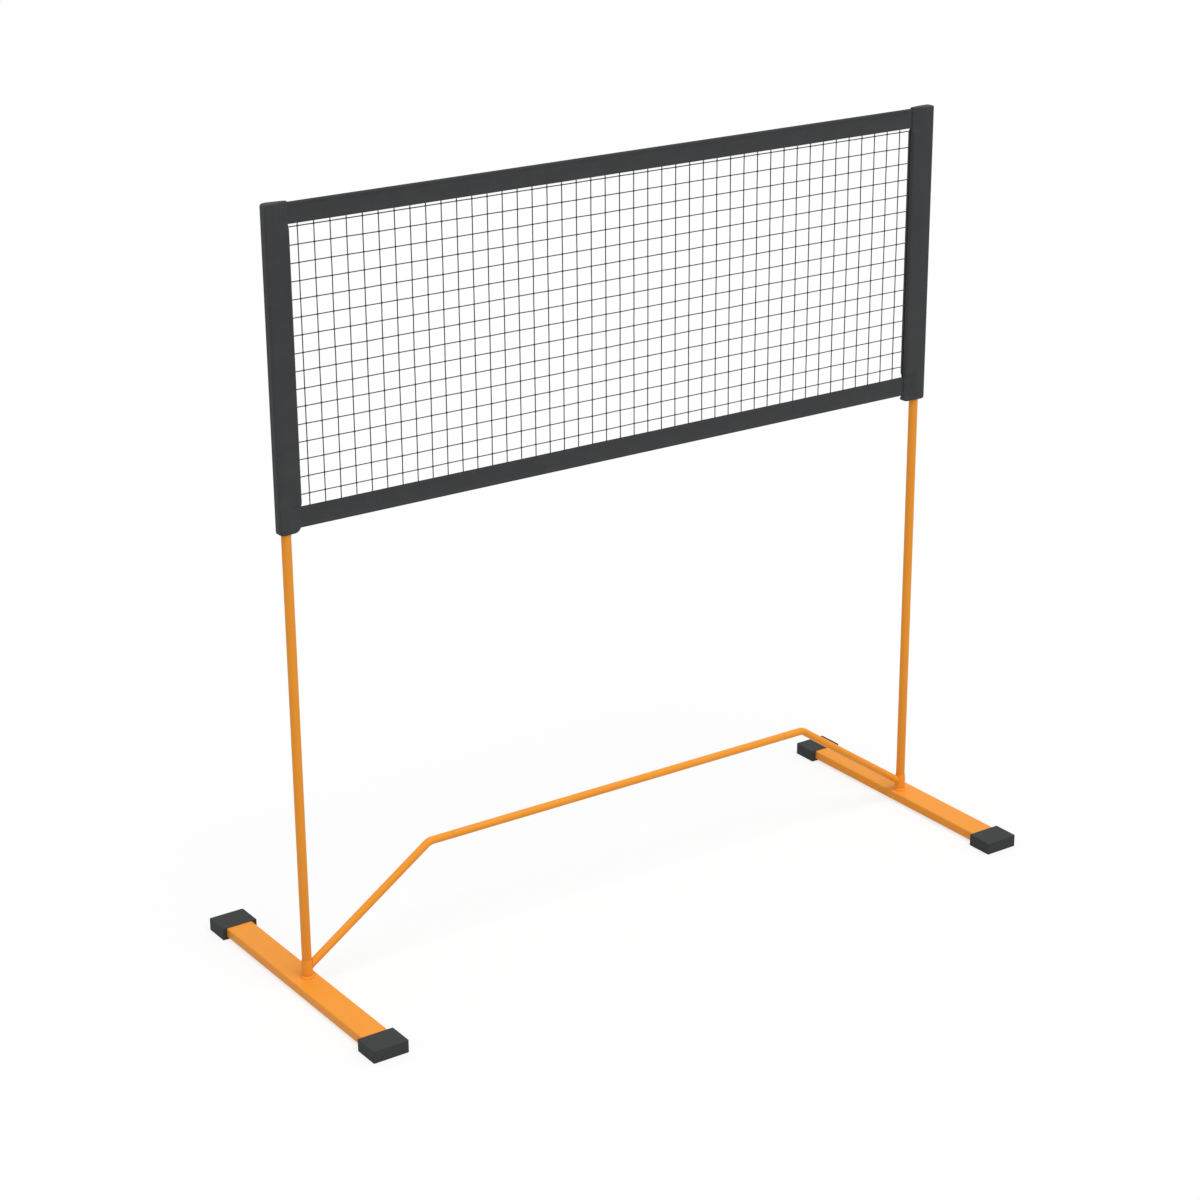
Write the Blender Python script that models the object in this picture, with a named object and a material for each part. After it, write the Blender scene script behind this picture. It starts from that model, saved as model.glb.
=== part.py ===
# Portable padel net: two floor bars with rubber end caps, telescopic posts with spring buttons,
# an arched crossbar in three lengths, and a framed net panel that slides up and down on the posts.
# Metres, +Z up, +X along the net, -Y to the front, origin on the floor under the middle.

import math

import bmesh
import bpy
from mathutils import Matrix, Vector

# Overall sizes
overall_height = 1.550
foot_spacing = 1.516
foot_length = 0.657
post_inset = 0.006

# Running and seating clearance between pieces, and the facets of a round piece
gap = 0.0003
round_steps = 24

# Floor bar, a flat oblong tube
bar_width = 0.057
bar_height = 0.020
bar_wall = 0.0015
bar_corner = 0.003

# Rubber end cap, a boot over the end of the bar
cap_length = 0.0584
cap_side_wall = 0.0095
cap_roof = 0.0015
cap_floor = 0.0039
cap_end_wall = 0.006
cap_corner = 0.003
cap_edge_round = 0.0012

# Lower post and the socket that stands on the bar
post_diameter = 0.019
post_wall = 0.0012
socket_wall = 0.0012
socket_height = 0.038
weld_size = 0.003
weld_toe = 0.0006
weld_neck = 0.0008
weld_height = 0.0039
spigot_length = 0.030

# Crossbar: two bent legs and a straight run between them
crossbar_diameter = 0.016
crossbar_wall = 0.0015
crossbar_height = 0.236
crossbar_run = 0.938
leg_foot_height = 0.042
bend_radius = 0.025
bend_steps = 5
leg_end_length = 0.045
joiner_wall = 0.0012

# Upper post, which slides in the lower one
upper_diameter = 0.0127
upper_wall = 0.001
post_overlap = 0.095
bush_depth = 0.030
bush_flange = 0.002
plug_depth = 0.012
plug_head = 0.003
plug_chamfer = 0.0013
slide_collar = 0.010
slide_chamfer = 0.0015

# Spring button and its row of holes
button_diameter = 0.006
button_proud = 0.002
button_dome = 0.0012
button_drop = 0.035
button_collar = 0.00035
button_collar_depth = 0.0008
collar_inset = 0.00195
upper_post_below_button = 0.028
hole_count = 7
hole_pitch = 0.080
spring_thickness = 0.0006
spring_width = 0.0038
spring_below = 0.007
spring_above = 0.024
spring_back_gap = 0.00065

# Side sleeve, a pocket round the post with a tapered inner edge
panel_height = 0.617
sleeve_outboard = 0.0185
sleeve_inboard = 0.0325
sleeve_inner_edge = 0.016
sleeve_taper_start = 0.002
sleeve_wall = 0.0012
sleeve_edge_round = 0.005
sleeve_top_round = 0.003
sleeve_top_outer_corner = 0.006
sleeve_top_inner_corner = 0.0015
sleeve_bottom_outer_corner = 0.007
sleeve_bottom_inner_corner = 0.014
sleeve_corner_steps = 5

# Top and bottom bands, tapes folded over a tension cord
band_height = 0.0395
band_thickness = 0.007
band_wall = 0.0012
band_top_drop = 0.002
band_bottom_rise = 0.009
band_tuck = 0.010
cord_diameter = 0.004

# Net, with its outer strand hidden in the bands and the sleeves
net_columns = 28
net_rows = 10
strand_diameter = 0.002
net_in_band = 0.014
net_in_sleeve = 0.004

# Places worked out from the sizes above
post_x = foot_spacing / 2 - post_inset
bar_bottom = cap_floor + gap
bar_top = bar_bottom + bar_height
socket_bottom = bar_top + gap
sleeve_bottom = overall_height - panel_height
button_height = sleeve_bottom - button_drop
post_top = sleeve_bottom + post_overlap
upper_bottom = button_height - upper_post_below_button
upper_top = overall_height - sleeve_wall - 2 * gap - plug_head
post_radius = post_diameter / 2
post_bore = post_radius - post_wall
upper_radius = upper_diameter / 2
upper_bore = upper_radius - upper_wall
socket_bore = post_radius + gap
socket_radius = socket_bore + socket_wall
crossbar_radius = crossbar_diameter / 2
crossbar_bore = crossbar_radius - crossbar_wall
bend_x = crossbar_run / 2
leg_slope = math.atan2(crossbar_height - leg_foot_height, post_x - bend_x)
bend_tangent = bend_radius * math.tan(leg_slope / 2)
joint_x = bend_x - bend_tangent - leg_end_length
collar_outer_y = upper_bore - collar_inset
collar_inner_y = collar_outer_y - button_collar_depth
sleeve_half = post_radius + gap + sleeve_wall
sleeve_edge_x = post_x - sleeve_inboard
top_band_top = overall_height - band_top_drop
top_band_open = top_band_top - band_height
low_band_bottom = sleeve_bottom + band_bottom_rise
low_band_open = low_band_bottom + band_height
band_half_length = sleeve_edge_x + band_tuck


def clear_scene():
    for obj in list(bpy.data.objects):
        bpy.data.objects.remove(obj, do_unlink=True)


def finish(name, colour, roughness, metallic=0.0):
    # colour is sRGB from 0 to 255
    material = bpy.data.materials.new(name)
    material.use_nodes = True
    shader = material.node_tree.nodes["Principled BSDF"]
    steps = [value / 255 for value in colour]
    linear = [s / 12.92 if s <= 0.04045 else ((s + 0.055) / 1.055) ** 2.4 for s in steps]
    shader.inputs["Base Color"].default_value = (*linear, 1.0)
    shader.inputs["Roughness"].default_value = roughness
    shader.inputs["Metallic"].default_value = metallic
    return material


def add_empty(name, place):
    empty = bpy.data.objects.new(name, None)
    empty.location = place
    empty.empty_display_size = 0.05
    bpy.context.scene.collection.objects.link(empty)
    return empty


def add_object(name, bm, place, material=None, parent=None):
    bmesh.ops.remove_doubles(bm, verts=bm.verts, dist=1e-7)
    bmesh.ops.recalc_face_normals(bm, faces=bm.faces)
    mesh = bpy.data.meshes.new(name)
    bm.to_mesh(mesh)
    bm.free()
    mesh.shade_smooth()
    mesh.set_sharp_from_angle(angle=math.radians(32))
    if material:
        mesh.materials.append(material)
    obj = bpy.data.objects.new(name, mesh)
    obj.location = Vector(place)
    if parent:
        obj.parent = parent
        obj.location -= parent.location
    bpy.context.scene.collection.objects.link(obj)
    return obj


def cut(target, name, bm, place, operation="DIFFERENCE"):
    # The cutter is a hidden helper in world coordinates
    cutter = add_object(name, bm, place)
    cutter.hide_render = True
    cutter.display_type = "WIRE"
    boolean = target.modifiers.new(name, "BOOLEAN")
    boolean.operation = operation
    boolean.solver = "EXACT"
    boolean.object = cutter
    return cutter


def arc(centre, radius, start, end, steps):
    # Points on an arc, angles in degrees, both ends included
    angles = [math.radians(start + (end - start) * i / steps) for i in range(steps + 1)]
    return [(centre[0] + radius * math.cos(a), centre[1] + radius * math.sin(a)) for a in angles]


def circle(radius, steps=round_steps):
    return arc((0, 0), radius, 0, 360 - 360 / steps, steps - 1)


def rounded_rectangle(low, high, corners, steps=4):
    # corners are the radii at the low-low, high-low, high-high and low-high corners
    a, b, c, d = corners
    return (
        arc((low[0] + a, low[1] + a), a, 180, 270, steps)
        + arc((high[0] - b, low[1] + b), b, 270, 360, steps)
        + arc((high[0] - c, high[1] - c), c, 0, 90, steps)
        + arc((low[0] + d, high[1] - d), d, 90, 180, steps)
    )


def loop_edges(bm, outline, frame):
    # Draws a closed outline in the plane of the frame's first two axes
    verts = [bm.verts.new(frame @ Vector((x, y, 0))) for x, y in outline]
    return [bm.edges.new((verts[i - 1], verts[i])) for i in range(len(verts))]


def ring_section(bm, outer, inner, frame):
    # The flat end of a hollow bar, between an outer and an inner outline
    edges = loop_edges(bm, outer, frame) + loop_edges(bm, inner, frame)
    return bmesh.ops.bridge_loops(bm, edges=edges)["faces"]


def solid_section(bm, outline, frame):
    edges = loop_edges(bm, outline, frame)
    return bmesh.ops.contextual_create(bm, geom=edges)["faces"]


def extrude(bm, faces, move):
    # Pushes the faces along and returns them at their new end
    geom = [*faces, *{edge for face in faces for edge in face.edges}]
    made = bmesh.ops.extrude_face_region(bm, geom=geom)["geom"]
    verts = [item for item in made if isinstance(item, bmesh.types.BMVert)]
    bmesh.ops.translate(bm, verts=verts, vec=move)
    return [item for item in made if isinstance(item, bmesh.types.BMFace)]


def axes_frame(origin, first, second):
    # A matrix whose first two axes span the plane of an outline
    first = Vector(first).normalized()
    second = Vector(second).normalized()
    turn = Matrix((first, second, first.cross(second))).transposed().to_4x4()
    return Matrix.Translation(origin) @ turn


upright = Matrix.Identity(4)
along_x = axes_frame((0, 0, 0), (0, 1, 0), (0, 0, 1))
along_y = axes_frame((0, 0, 0), (0, 0, 1), (1, 0, 0))
facing_front = axes_frame((0, 0, 0), (1, 0, 0), (0, 0, 1))
facing_rear = axes_frame((0, 0, 0), (1, 0, 0), (0, 0, -1))


def tube(outer_radius, inner_radius, length, frame=upright, steps=round_steps):
    bm = bmesh.new()
    end = ring_section(bm, circle(outer_radius, steps), circle(inner_radius, steps), frame)
    extrude(bm, end, frame.to_3x3() @ Vector((0, 0, length)))
    return bm


def rod(radius, length, frame=upright, steps=round_steps):
    bm = bmesh.new()
    end = solid_section(bm, circle(radius, steps), frame)
    extrude(bm, end, frame.to_3x3() @ Vector((0, 0, length)))
    return bm


def turned(profile, closed=False, steps=round_steps):
    # Turns a profile of radius and height about Z; an open one starts and ends on the axis
    bm = bmesh.new()
    verts = [bm.verts.new((radius, 0, height)) for radius, height in profile]
    edges = [bm.edges.new((verts[i], verts[i + 1])) for i in range(len(verts) - 1)]
    if closed:
        edges.append(bm.edges.new((verts[-1], verts[0])))
    bmesh.ops.spin(
        bm,
        geom=verts + edges,
        cent=(0, 0, 0),
        axis=(0, 0, 1),
        angle=2 * math.pi,
        steps=steps,
        use_merge=True,
    )
    return bm


def floor_bar(side, material):
    length = foot_length - 2 * (cap_end_wall + gap)
    outer = rounded_rectangle(
        (-bar_height / 2, -bar_width / 2), (bar_height / 2, bar_width / 2), [bar_corner] * 4
    )
    inner_low = (-bar_height / 2 + bar_wall, -bar_width / 2 + bar_wall)
    inner_high = (bar_height / 2 - bar_wall, bar_width / 2 - bar_wall)
    inner = rounded_rectangle(inner_low, inner_high, [bar_corner - bar_wall] * 4)
    bm = bmesh.new()
    end = ring_section(bm, outer, inner, along_y)
    extrude(bm, end, (0, length, 0))
    place = (side.x * foot_spacing / 2, -length / 2, bar_bottom + bar_height / 2)
    add_object(f"base_bar_{side.name}", bm, place, material)


def end_cap_mesh():
    # The mouth faces -Y at the local origin, and the closed end is at +Y
    width = bar_width + 2 * (cap_side_wall + gap)
    height = cap_floor + bar_height + 2 * gap + cap_roof
    bm = bmesh.new()
    outline = [(-width / 2, 0), (width / 2, 0), (width / 2, height), (-width / 2, height)]
    mouth = solid_section(bm, outline, facing_front)
    extrude(bm, mouth, (0, cap_length, 0))
    outer_edges = [e for e in bm.edges if max(v.co.y for v in e.verts) > cap_length / 2]
    upright_edges = [e for e in outer_edges if abs(e.verts[0].co.z - e.verts[1].co.z) > height / 2]
    bmesh.ops.bevel(
        bm, geom=upright_edges, offset=cap_corner, segments=4, profile=0.5, affect="EDGES"
    )
    rim = [
        e
        for e in bm.edges
        if abs(e.verts[0].co.z - e.verts[1].co.z) < gap
        and max(v.co.y for v in e.verts) > cap_length / 2
    ]
    bmesh.ops.bevel(
        bm, geom=rim, offset=cap_edge_round, segments=2, profile=0.5, affect="EDGES"
    )
    mouth = [f for f in bm.faces if all(abs(v.co.y) < gap for v in f.verts)]
    bmesh.ops.inset_individual(bm, faces=mouth, thickness=cap_roof)
    mouth = [f for f in mouth if f.is_valid]
    low = min(v.co.z for v in mouth[0].verts)
    high = max(v.co.z for v in mouth[0].verts)
    for vert in mouth[0].verts:
        vert.co.x = math.copysign(bar_width / 2 + gap, vert.co.x)
        at_top = vert.co.z > (low + high) / 2
        vert.co.z = height - cap_roof if at_top else cap_floor
    bmesh.ops.remove_doubles(bm, verts=mouth[0].verts, dist=gap)
    pocket = [f for f in bm.faces if is_pocket_mouth(f)]
    extrude(bm, pocket, (0, cap_length - cap_end_wall, 0))
    return bm


def is_pocket_mouth(face):
    return all(
        abs(v.co.y) < gap and abs(abs(v.co.x) - bar_width / 2 - gap) < gap / 2 for v in face.verts
    )


def end_cap(side, end, material):
    bm = end_cap_mesh()
    if end.y < 0:
        bmesh.ops.rotate(bm, verts=bm.verts, cent=(0, 0, 0), matrix=Matrix.Rotation(math.pi, 3, "Z"))
    place = (side.x * foot_spacing / 2, end.y * (foot_length / 2 - cap_length), 0)
    add_object(f"end_cap_{end.name}_{side.name}", bm, place, material)


def post_socket(side, material):
    # An upright socket with a weld at its foot and a spigot that the crossbar leg slips over
    profile = [(0, 0)]
    profile += [(socket_radius + weld_size, 0), (socket_radius + weld_size, weld_toe)]
    profile += [(socket_radius + weld_neck, weld_size), (socket_radius, weld_height)]
    profile += [(socket_radius, socket_height), (0, socket_height)]
    place = Vector((side.x * post_x, 0, socket_bottom))
    obj = add_object(f"post_socket_{side.name}", turned(profile), place, material)
    slope = leg_direction(side)
    reach = socket_radius / math.cos(leg_slope) + spigot_length
    frame = face_along(slope)
    foot = (side.x * post_x, 0, leg_foot_height)
    cut(obj, f"spigot_{side.name}", rod(crossbar_bore - gap, reach, frame), foot, "UNION")
    bore = rod(socket_bore, 3 * socket_height)
    cut(obj, f"socket_bore_{side.name}", bore, place - Vector((0, 0, socket_height)))


def leg_direction(side):
    return Vector((-side.x * math.cos(leg_slope), 0, math.sin(leg_slope)))


def face_along(direction):
    # The frame of a round section that is pushed along a direction in the plane of the net
    return axes_frame((0, 0, 0), (0, 1, 0), direction.cross(Vector((0, 1, 0))))


def lower_post(side, material):
    length = post_top - socket_bottom
    place = Vector((side.x * post_x, 0, socket_bottom))
    bm = tube(post_radius, post_bore, length)
    obj = add_object(f"lower_post_{side.name}", bm, place, material)
    holes = bmesh.new()
    for i in range(hole_count):
        height = button_height - i * hole_pitch
        frame = Matrix.Translation((0, 0, height)) @ facing_rear
        end = solid_section(holes, circle(button_diameter / 2 + gap, 12), frame)
        extrude(holes, end, (0, post_radius, 0))
    cut(obj, f"button_holes_{side.name}", holes, (side.x * post_x, post_radius / 2, 0))


def guide_bush(side, material):
    # A plastic bush in the mouth of the lower post, with a flange on its rim
    outer = post_bore - gap
    inner = upper_radius + gap
    profile = [(inner, -bush_depth), (outer, -bush_depth), (outer, gap)]
    profile += [(post_radius, gap), (post_radius, bush_flange), (inner, bush_flange)]
    bm = turned(profile, closed=True)
    place = (side.x * post_x, 0, post_top)
    add_object(f"guide_bush_{side.name}", bm, place, material)


def crossbar_leg(side, material):
    # A tube that climbs from the socket, bends level and ends at the joint with the run
    slope = leg_direction(side)
    level = Vector((-side.x, 0, 0))
    bm = bmesh.new()
    end = ring_section(bm, circle(crossbar_radius), circle(crossbar_bore), face_along(slope))
    climb = math.hypot(post_x - bend_x, crossbar_height - leg_foot_height) - bend_tangent
    end = extrude(bm, end, slope * climb)
    centre = (
        side.x * (bend_x - bend_tangent - post_x),
        0,
        crossbar_height - bend_radius - leg_foot_height,
    )
    turn = Matrix.Rotation(-side.x * leg_slope / bend_steps, 3, "Y")
    for _ in range(bend_steps):
        end = extrude(bm, end, (0, 0, 0))
        verts = list({v for face in end for v in face.verts})
        bmesh.ops.rotate(bm, verts=verts, cent=centre, matrix=turn)
    extrude(bm, end, level * leg_end_length)
    place = (side.x * post_x, 0, leg_foot_height)
    obj = add_object(f"crossbar_leg_{side.name}", bm, place, material)
    cope = rod(socket_radius + gap, 3 * socket_height)
    cut(obj, f"leg_cope_{side.name}", cope, (side.x * post_x, 0, bar_top))


def crossbar_joiner(side, material):
    # A tube inside the joint between leg and run, half in each
    bm = tube(crossbar_bore - gap, crossbar_bore - gap - joiner_wall, 2 * spigot_length, along_x)
    place = (side.x * joint_x - spigot_length, 0, crossbar_height)
    add_object(f"crossbar_joiner_{side.name}", bm, place, material)


def crossbar_tube(material):
    half = joint_x - gap
    bm = tube(crossbar_radius, crossbar_bore, 2 * half, along_x)
    add_object("crossbar_tube", bm, (-half, 0, crossbar_height), material)


def upper_post(side, material, parent):
    place = Vector((side.x * post_x, 0, upper_bottom))
    bm = tube(upper_radius, upper_bore, upper_top - upper_bottom)
    obj = add_object(f"upper_post_{side.name}", bm, place, material, parent)
    hole = rod(button_diameter / 2 + gap, upper_radius, facing_rear, 12)
    at = (side.x * post_x, upper_radius / 2, button_height)
    cut(obj, f"upper_hole_{side.name}", hole, at)


def post_top_plug(side, material, parent):
    stem = upper_bore - gap
    profile = [(0, -plug_depth), (stem, -plug_depth), (stem, gap), (upper_radius, gap)]
    profile += [(upper_radius, gap + plug_head - plug_chamfer)]
    profile += [(upper_radius - plug_chamfer, gap + plug_head)]
    profile += [(0, gap + plug_head)]
    place = (side.x * post_x, 0, upper_top)
    add_object(f"post_top_plug_{side.name}", turned(profile), place, material, parent)


def slide_plug(side, material, parent):
    # Closes the foot of the upper post and guides it in the lower one
    stem = upper_bore - gap
    collar = post_bore - gap
    foot = -gap - slide_collar
    profile = [(0, foot), (collar - slide_chamfer, foot), (collar, foot + slide_chamfer)]
    profile += [(collar, -gap), (stem, -gap)]
    profile += [(stem, plug_depth), (0, plug_depth)]
    place = (side.x * post_x, 0, upper_bottom)
    add_object(f"slide_plug_{side.name}", turned(profile), place, material, parent)


def snap_button(side, material, parent):
    # A domed pin along +Y with a collar that stops it inside the upper post
    radius = button_diameter / 2
    collar = radius + gap + button_collar
    tip = post_radius + button_proud
    profile = [(0, collar_inner_y), (collar, collar_inner_y), (collar, collar_outer_y)]
    profile += [(radius, collar_outer_y)]
    dome = arc((0, 0), 1, 0, 90, 3)
    profile += [(radius * across, tip + button_dome * (up - 1)) for across, up in dome[:-1]]
    profile += [(0, tip)]
    bm = turned(profile, steps=16)
    turn = Matrix.Rotation(-math.pi / 2, 3, "X")
    bmesh.ops.rotate(bm, verts=bm.verts, cent=(0, 0, 0), matrix=turn)
    place = (side.x * post_x, 0, button_height)
    add_object(f"snap_button_{side.name}", bm, place, material, parent)


def snap_spring(side, material, parent):
    # A leaf bent double: one leg under the button's collar, the other along the far wall
    front = collar_inner_y - gap
    back = -upper_bore + spring_back_gap
    outer = (front - back) / 2
    middle = (front + back) / 2
    inner = outer - spring_thickness
    outline = [(front, -spring_below)]
    outline += arc((middle, spring_above), outer, 0, 180, 10)
    outline += [(back, -spring_below), (back + spring_thickness, -spring_below)]
    outline += arc((middle, spring_above), inner, 180, 0, 10)
    outline += [(front - spring_thickness, -spring_below)]
    bm = bmesh.new()
    face = solid_section(bm, outline, along_x)
    extrude(bm, face, (spring_width, 0, 0))
    place = (side.x * post_x - spring_width / 2, 0, button_height)
    add_object(f"snap_spring_{side.name}", bm, place, material, parent)


def corner_reach(depth, radius):
    # How far a rounded corner stands back from its side, at a depth below the corner's end
    radius = max(0.0, radius)
    rest = max(0.0, radius - depth)
    return radius - math.sqrt(radius * radius - rest * rest)


def rounding_depths(radius):
    # Depths at which a rounded corner is drawn, from its end to where it meets the side
    return [radius * (1 - across) for across, _ in arc((0, 0), 1, 0, 90, sleeve_corner_steps)]


def sleeve_section(height, inset):
    # The level outline of the pocket at that height: rounded ends, parallel round the post and
    # tapered towards the inner edge
    below = height - inset
    above = panel_height - inset - height
    low = -sleeve_outboard + inset + max(
        corner_reach(below, sleeve_bottom_outer_corner - inset),
        corner_reach(above, sleeve_top_outer_corner - inset),
    )
    high = sleeve_inboard - inset - max(
        corner_reach(below, sleeve_bottom_inner_corner - inset),
        corner_reach(above, sleeve_top_inner_corner - inset),
    )
    half = sleeve_half - inset
    rim = half - corner_reach(above, sleeve_top_round - inset)
    ends = sleeve_edge_round - inset
    outline = rounded_rectangle((low, -rim), (high, rim), [ends] * 4, steps=3)
    half_way = len(outline) // 2
    outer_end = half_way // 2
    outline.insert(half_way + outer_end, (sleeve_taper_start, rim))
    outline.insert(outer_end, (sleeve_taper_start, -rim))
    narrowing = 1 - (sleeve_inner_edge / 2 - inset) / half
    reach = sleeve_inboard - inset - sleeve_taper_start
    shares = [max(0.0, x - sleeve_taper_start) / reach for x, _ in outline]
    return [
        (x, y * (1 - narrowing * share), height) for (x, y), share in zip(outline, shares)
    ]


def sleeve_body(side, inset):
    # The pocket's outer form, or with an inset the hollow inside it, skinned over level sections
    foot = [inset + depth for depth in rounding_depths(sleeve_bottom_inner_corner - inset)]
    top = [
        panel_height - inset - depth
        for depth in rounding_depths(sleeve_top_outer_corner - inset)
    ]
    bm = bmesh.new()
    rings = []
    for height in sorted(foot + top):
        rings.append([bm.verts.new(point) for point in sleeve_section(height, inset)])
    for lower, upper in zip(rings, rings[1:]):
        for i in range(len(lower)):
            bm.faces.new((lower[i - 1], lower[i], upper[i], upper[i - 1]))
    bm.faces.new(rings[0])
    bm.faces.new(rings[-1])
    if side.x > 0:
        bmesh.ops.scale(bm, verts=bm.verts, vec=(-1, 1, 1))
    return bm


def side_sleeve(side, material, parent):
    place = Vector((side.x * post_x, 0, sleeve_bottom))
    obj = add_object(f"side_sleeve_{side.name}", sleeve_body(side, 0), place, material, parent)
    cut(obj, f"sleeve_hollow_{side.name}", sleeve_body(side, sleeve_wall), place)
    mouth = rod(post_radius + gap, 3 * sleeve_bottom_inner_corner)
    drop = Vector((0, 0, sleeve_bottom_inner_corner))
    cut(obj, f"sleeve_mouth_{side.name}", mouth, place - drop)
    # The inner edge is open for the two bands and, between them, for the net
    wide = band_thickness / 2 + gap
    narrow = strand_diameter / 2 + gap
    levels = [low_band_bottom - gap, low_band_open, top_band_open, top_band_top + gap]
    outline = [(wide, levels[0]), (wide, levels[1]), (narrow, levels[1]), (narrow, levels[2])]
    outline += [(wide, levels[2]), (wide, levels[3])]
    outline += [(-across, up) for across, up in reversed(outline)]
    bm = bmesh.new()
    face = solid_section(bm, outline, along_x)
    extrude(bm, face, (2 * band_tuck, 0, 0))
    at = (side.x * sleeve_edge_x - band_tuck, 0, 0)
    cut(obj, f"sleeve_slot_{side.name}", bm, at)


def band(name, fold, up, material, parent):
    # A tape folded over the cord: fold is the height of the fold, and up is 1 where it is on top
    half = band_thickness / 2
    inner = half - band_wall
    top = band_height - half
    outline = [(half, 0)] + arc((0, top), half, 0, 180, 8) + [(-half, 0), (-inner, 0)]
    outline += arc((0, top), inner, 180, 0, 8) + [(inner, 0)]
    start = fold - up * band_height
    bm = bmesh.new()
    face = solid_section(bm, [(across, up * height) for across, height in outline], along_x)
    extrude(bm, face, (2 * band_half_length, 0, 0))
    add_object(name, bm, (-band_half_length, 0, start), material, parent)


def tension_cord(name, fold, up, material, parent):
    height = fold - up * (band_wall + gap + cord_diameter / 2)
    bm = rod(cord_diameter / 2, 2 * band_half_length, along_x, 10)
    add_object(name, bm, (-band_half_length, 0, height), material, parent)


def net_mesh(material, parent):
    # A grid of square gaps whose edges become the strands
    width = 2 * (sleeve_edge_x + net_in_sleeve)
    low = low_band_open - net_in_band
    high = top_band_open + net_in_band
    bm = bmesh.new()
    bmesh.ops.create_grid(bm, x_segments=net_columns, y_segments=net_rows, size=0.5)
    bmesh.ops.scale(bm, verts=bm.verts, vec=(width, high - low, 1))
    turn = Matrix.Rotation(math.pi / 2, 3, "X")
    bmesh.ops.rotate(bm, verts=bm.verts, cent=(0, 0, 0), matrix=turn)
    obj = add_object("net_mesh", bm, (0, 0, (low + high) / 2), material, parent)
    strands = obj.modifiers.new("strands", "WIREFRAME")
    strands.thickness = strand_diameter
    strands.offset = 0
    strands.use_even_offset = False
    strands.use_boundary = True
    strands.use_replace = True


class Side:
    def __init__(self, name, x):
        self.name = name
        self.x = x


class End:
    def __init__(self, name, y):
        self.name = name
        self.y = y


def build():
    clear_scene()
    orange = finish("orange_powder_coat", (246, 158, 66), 0.38)
    dark_rubber = finish("dark_grey_rubber", (62, 64, 65), 0.72)
    dark_cloth = finish("dark_grey_cloth", (60, 61, 63), 0.85)
    net_cord = finish("grey_net_cord", (70, 70, 72), 0.8)
    black_plastic = finish("black_plastic", (34, 35, 37), 0.5)
    bright_steel = finish("bright_steel", (188, 190, 192), 0.3, 1.0)

    left = Side("left", -1)
    right = Side("right", 1)
    carriage = add_empty("net_carriage_axis", (0, 0, sleeve_bottom))
    for side in (left, right):
        floor_bar(side, orange)
        for end in (End("front", -1), End("rear", 1)):
            end_cap(side, end, dark_rubber)
        post_socket(side, orange)
        lower_post(side, orange)
        guide_bush(side, black_plastic)
        crossbar_leg(side, orange)
        crossbar_joiner(side, bright_steel)
        upper_post(side, bright_steel, carriage)
        post_top_plug(side, black_plastic, carriage)
        slide_plug(side, black_plastic, carriage)
        snap_spring(side, bright_steel, carriage)
        snap_button(side, bright_steel, carriage)
        side_sleeve(side, dark_cloth, carriage)
    crossbar_tube(orange)
    band("top_band", top_band_top, 1, dark_cloth, carriage)
    band("bottom_band", low_band_bottom, -1, dark_cloth, carriage)
    tension_cord("top_cord", top_band_top, 1, net_cord, carriage)
    tension_cord("bottom_cord", low_band_bottom, -1, net_cord, carriage)
    net_mesh(net_cord, carriage)


build()
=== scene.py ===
# Portable padel net, the looks: powder coated steel, moulded rubber feet, sewn cloth sleeves and
# bands and a knotted net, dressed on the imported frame. Metres, +Z up, the front faces -Y.

import math

import bmesh
import bpy
from mathutils import Matrix, Vector, noise


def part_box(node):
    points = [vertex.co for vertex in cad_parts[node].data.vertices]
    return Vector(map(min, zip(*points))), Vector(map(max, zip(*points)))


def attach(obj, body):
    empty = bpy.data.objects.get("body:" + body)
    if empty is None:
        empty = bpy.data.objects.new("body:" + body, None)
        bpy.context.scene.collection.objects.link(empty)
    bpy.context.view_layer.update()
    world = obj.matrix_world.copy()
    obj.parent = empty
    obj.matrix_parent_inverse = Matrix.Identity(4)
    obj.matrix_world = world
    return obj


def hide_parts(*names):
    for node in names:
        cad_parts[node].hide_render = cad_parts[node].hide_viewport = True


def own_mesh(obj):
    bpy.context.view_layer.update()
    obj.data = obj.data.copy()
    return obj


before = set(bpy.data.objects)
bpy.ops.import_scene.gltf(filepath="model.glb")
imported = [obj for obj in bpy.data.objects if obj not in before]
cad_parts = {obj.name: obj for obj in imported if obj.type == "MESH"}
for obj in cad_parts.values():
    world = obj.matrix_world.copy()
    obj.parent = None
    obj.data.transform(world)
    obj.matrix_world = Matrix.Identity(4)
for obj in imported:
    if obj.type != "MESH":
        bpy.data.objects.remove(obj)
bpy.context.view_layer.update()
scene = bpy.context.scene
scene.view_settings.view_transform = "Standard"

sides = {"left": -1, "right": 1}
mm = 0.001


def newMesh(name, bm):
    mesh = bpy.data.meshes.new(name)
    bm.to_mesh(mesh)
    bm.free()
    return mesh


def addObject(name, data):
    thing = bpy.data.objects.new(name, data)
    scene.collection.objects.link(thing)
    return thing


# Camera, at the photograph's angle

cameraView = {
    "place": (-3.0142, -4.2959, 2.6322),
    "yaw": 34.553,  # degrees to the right of the net's own normal
    "pitch": 20.781,  # degrees below level
    "roll": -0.393,
    "lens": 83.84,  # mm, for the full width of the frame
    "sensor": 36.0,
}


def makeCamera(view):
    data = bpy.data.cameras.new("camera")
    data.lens = view["lens"]
    data.sensor_width = view["sensor"]
    camera = addObject("camera", data)
    turn = Matrix.Rotation(-math.radians(view["yaw"]), 4, "Z")
    tilt = Matrix.Rotation(math.radians(90 - view["pitch"]), 4, "X")
    roll = Matrix.Rotation(math.radians(view["roll"]), 4, "Z")
    camera.matrix_world = Matrix.Translation(view["place"]) @ turn @ tilt @ roll
    scene.camera = camera


makeCamera(cameraView)
print("camera placed")


# Materials

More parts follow.
